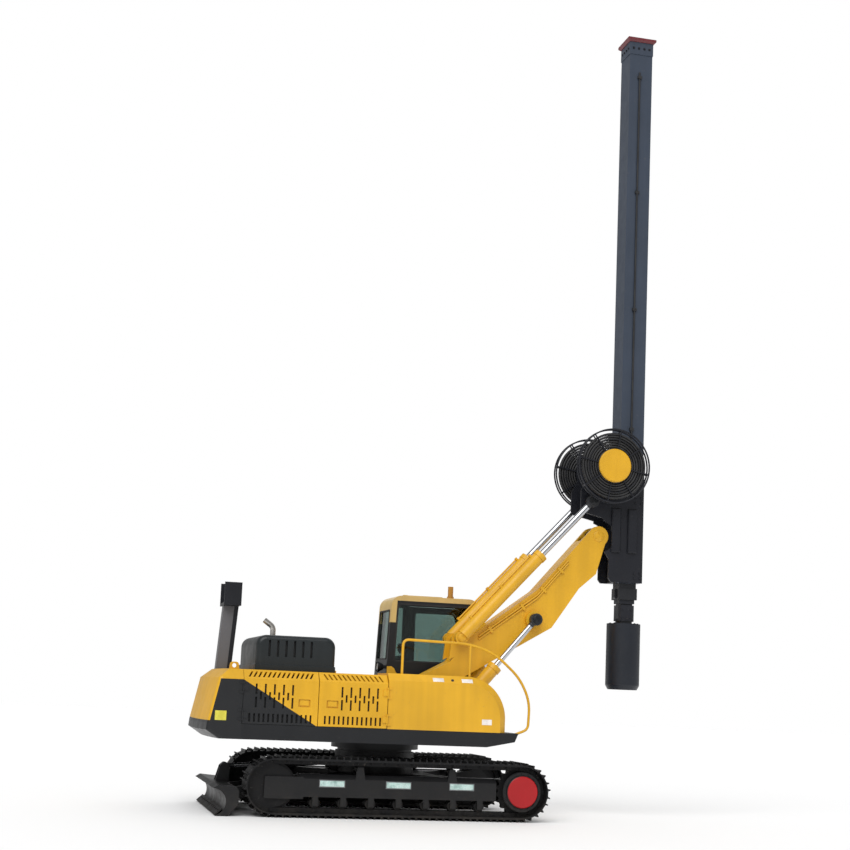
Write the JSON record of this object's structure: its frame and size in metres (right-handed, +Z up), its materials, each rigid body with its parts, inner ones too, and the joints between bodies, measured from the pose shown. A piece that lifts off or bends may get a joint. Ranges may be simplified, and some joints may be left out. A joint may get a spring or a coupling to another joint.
{
  "type": "piling rig",
  "caption": "Crawler piling rig: slewing upper with cab and engine house, boom, telescopic mast with hose reels and a drilling barrel, dozer blade behind",
  "frame": {"origin": "on the ground, under the middle of the outside box", "axes": "+X forward to the mast, +Y to the cab's side, +Z up"},
  "size_m": [6.612, 2.6, 12.01],
  "materials": {
    "yellow": "yellow machine paint",
    "black": "black machine paint",
    "mast_grey": "blue-grey paint",
    "red": "red paint",
    "track_steel": "dark track steel",
    "steel": "bare steel",
    "chrome": "hard chrome",
    "hose": "hydraulic hose",
    "glass": "tinted glass",
    "seat": "woven seat cover",
    "plastic": "moulded plastic",
    "amber": "amber lens"
  },
  "bodies": {
    "undercarriage": {"car_body": "black", "track_left": "track_steel", "track_right": "track_steel", "track_frames": "black", "track_rollers": "track_steel", "idlers": "track_steel", "sprockets": "track_steel", "drive_covers": "red", "tow_eye": "black"},
    "blade": {"blade": "black"},
    "blade_barrel": {"blade_ram_barrel": "yellow"},
    "blade_rod": {"blade_ram_rod": "chrome"},
    "upper": {"revolving_frame": "black", "counterweight": "yellow", "house": "yellow", "front_box": "yellow", "engine_block": "steel", "mast_rest": "mast_grey", "handrail": "yellow", "lifting_eyes": "black", "cab_shell": "black", "cab_roof": "yellow", "cab_glass": "glass", "operator_seat": "seat", "cab_console": "plastic", "beacon": "amber"},
    "door_left_rear": {"door_left_rear": "yellow"},
    "door_right_rear": {"door_right_rear": "yellow"},
    "door_right_front": {"door_right_front": "yellow"},
    "hood": {"hood": "black", "exhaust": "steel"},
    "cab_door": {"cab_door": "black", "cab_door_glass": "glass"},
    "boom": {"boom": "yellow", "boom_pipes": "yellow"},
    "lift_barrels": {"lift_barrels": "yellow"},
    "lift_rods": {"lift_rods": "chrome"},
    "tilt_barrels": {"tilt_barrels": "yellow"},
    "tilt_rods": {"tilt_rods": "chrome"},
    "mast": {"mast_bracket": "black", "outer_mast": "mast_grey", "mast_cap": "red", "mast_hose": "hose"},
    "reel_left": {"reel_left": "steel", "reel_hose_left": "hose", "reel_cover_left": "yellow"},
    "reel_right": {"reel_right": "steel", "reel_hose_right": "hose", "reel_cover_right": "yellow"},
    "stage_1": {"middle_mast": "mast_grey"},
    "stage_2": {"inner_mast": "mast_grey", "power_head": "black"},
    "drill": {"drill_barrel": "mast_grey"}
  },
  "joints": [
    {"name": "slew", "type": "hinge", "parent": "undercarriage", "child": "upper", "pos_m": [-0.686, 0, 1], "axis": [0, 0, 1], "continuous": true},
    {"name": "blade_lift", "type": "hinge", "parent": "undercarriage", "child": "blade", "pos_m": [-1.826, 0, 0.38], "axis": [0, 1, 0], "range_deg": [-10, 18]},
    {"name": "blade_ram_swing", "type": "hinge", "parent": "undercarriage", "child": "blade_barrel", "pos_m": [-1.326, 0, 0.7], "axis": [0, 1, 0], "range_deg": [-7.56, 12.82]},
    {"name": "blade_ram_slide", "type": "slide", "parent": "blade_barrel", "child": "blade_rod", "axis": [-0.9973, 0, -0.0739], "range_m": [-0.109, 0.065]},
    {"name": "boom_luff", "type": "hinge", "parent": "upper", "child": "boom", "pos_m": [-0.036, 0, 1.8], "axis": [0, 1, 0], "range_deg": [-15, 25]},
    {"name": "lift_ram_swing", "type": "hinge", "parent": "upper", "child": "lift_barrels", "pos_m": [0.444, 0, 1.5], "axis": [0, 1, 0], "range_deg": [-17.45, 28.42]},
    {"name": "lift_ram_slide", "type": "slide", "parent": "lift_barrels", "child": "lift_rods", "axis": [0.6441, 0, 0.7649], "range_m": [-0.242, 0.149]},
    {"name": "mast_tilt", "type": "hinge", "parent": "boom", "child": "mast", "pos_m": [2.554, 0, 4.13], "axis": [0, -1, 0], "range_deg": [-5, 90]},
    {"name": "tilt_ram_swing", "type": "hinge", "parent": "boom", "child": "tilt_barrels", "pos_m": [0.444, 0, 2.51], "axis": [0, -1, 0], "range_deg": [-6.19, 1.29]},
    {"name": "tilt_ram_slide", "type": "slide", "parent": "tilt_barrels", "child": "tilt_rods", "axis": [0.677, 0, 0.736], "range_m": [-0.717, 0.049]},
    {"name": "reel_left_spin", "type": "hinge", "parent": "mast", "child": "reel_left", "pos_m": [2.634, 0, 5.15], "axis": [0, 1, 0], "continuous": true},
    {"name": "reel_right_spin", "type": "hinge", "parent": "mast", "child": "reel_right", "pos_m": [2.634, 0, 5.15], "axis": [0, 1, 0], "continuous": true},
    {"name": "middle_mast_slide", "type": "slide", "parent": "mast", "child": "stage_1", "axis": [0, 0, -1], "range_m": [0, 6]},
    {"name": "inner_mast_slide", "type": "slide", "parent": "stage_1", "child": "stage_2", "axis": [0, 0, -1], "range_m": [0, 6]},
    {"name": "drill_spin", "type": "hinge", "parent": "stage_2", "child": "drill", "pos_m": [3.054, 0, 2.892], "axis": [0, 0, 1], "continuous": true},
    {"name": "cab_door_hinge", "type": "hinge", "parent": "upper", "child": "cab_door", "pos_m": [0.039, 1.286, 2], "axis": [0, 0, 1], "range_deg": [0, 140]},
    {"name": "door_right_rear_hinge", "type": "hinge", "parent": "upper", "child": "door_right_rear", "pos_m": [-2.756, -1.264, 1.5], "axis": [0, 0, -1], "range_deg": [0, 100]},
    {"name": "door_right_front_hinge", "type": "hinge", "parent": "upper", "child": "door_right_front", "pos_m": [-0.801, -1.264, 1.5], "axis": [0, 0, 1], "range_deg": [0, 100]},
    {"name": "door_left_rear_hinge", "type": "hinge", "parent": "upper", "child": "door_left_rear", "pos_m": [-2.756, 1.264, 1.5], "axis": [0, 0, 1], "range_deg": [0, 100]},
    {"name": "hood_hinge", "type": "hinge", "parent": "upper", "child": "hood", "pos_m": [-1.46, 0, 1.941], "axis": [0, 1, 0], "range_deg": [0, 55]}
  ],
  "couplings": [
    {"joint": "blade_ram_swing", "follows": "blade_lift", "ratio": 0.6564},
    {"joint": "blade_ram_slide", "follows": "blade_lift", "m_per_rad": -0.31457},
    {"joint": "lift_ram_swing", "follows": "boom_luff", "ratio": 1.097},
    {"joint": "lift_ram_slide", "follows": "boom_luff", "m_per_rad": -0.53178},
    {"joint": "tilt_ram_swing", "follows": "mast_tilt", "ratio": -0.05766},
    {"joint": "tilt_ram_slide", "follows": "mast_tilt", "m_per_rad": -0.45011},
    {"joint": "inner_mast_slide", "follows": "middle_mast_slide", "ratio": 1}
  ]
}
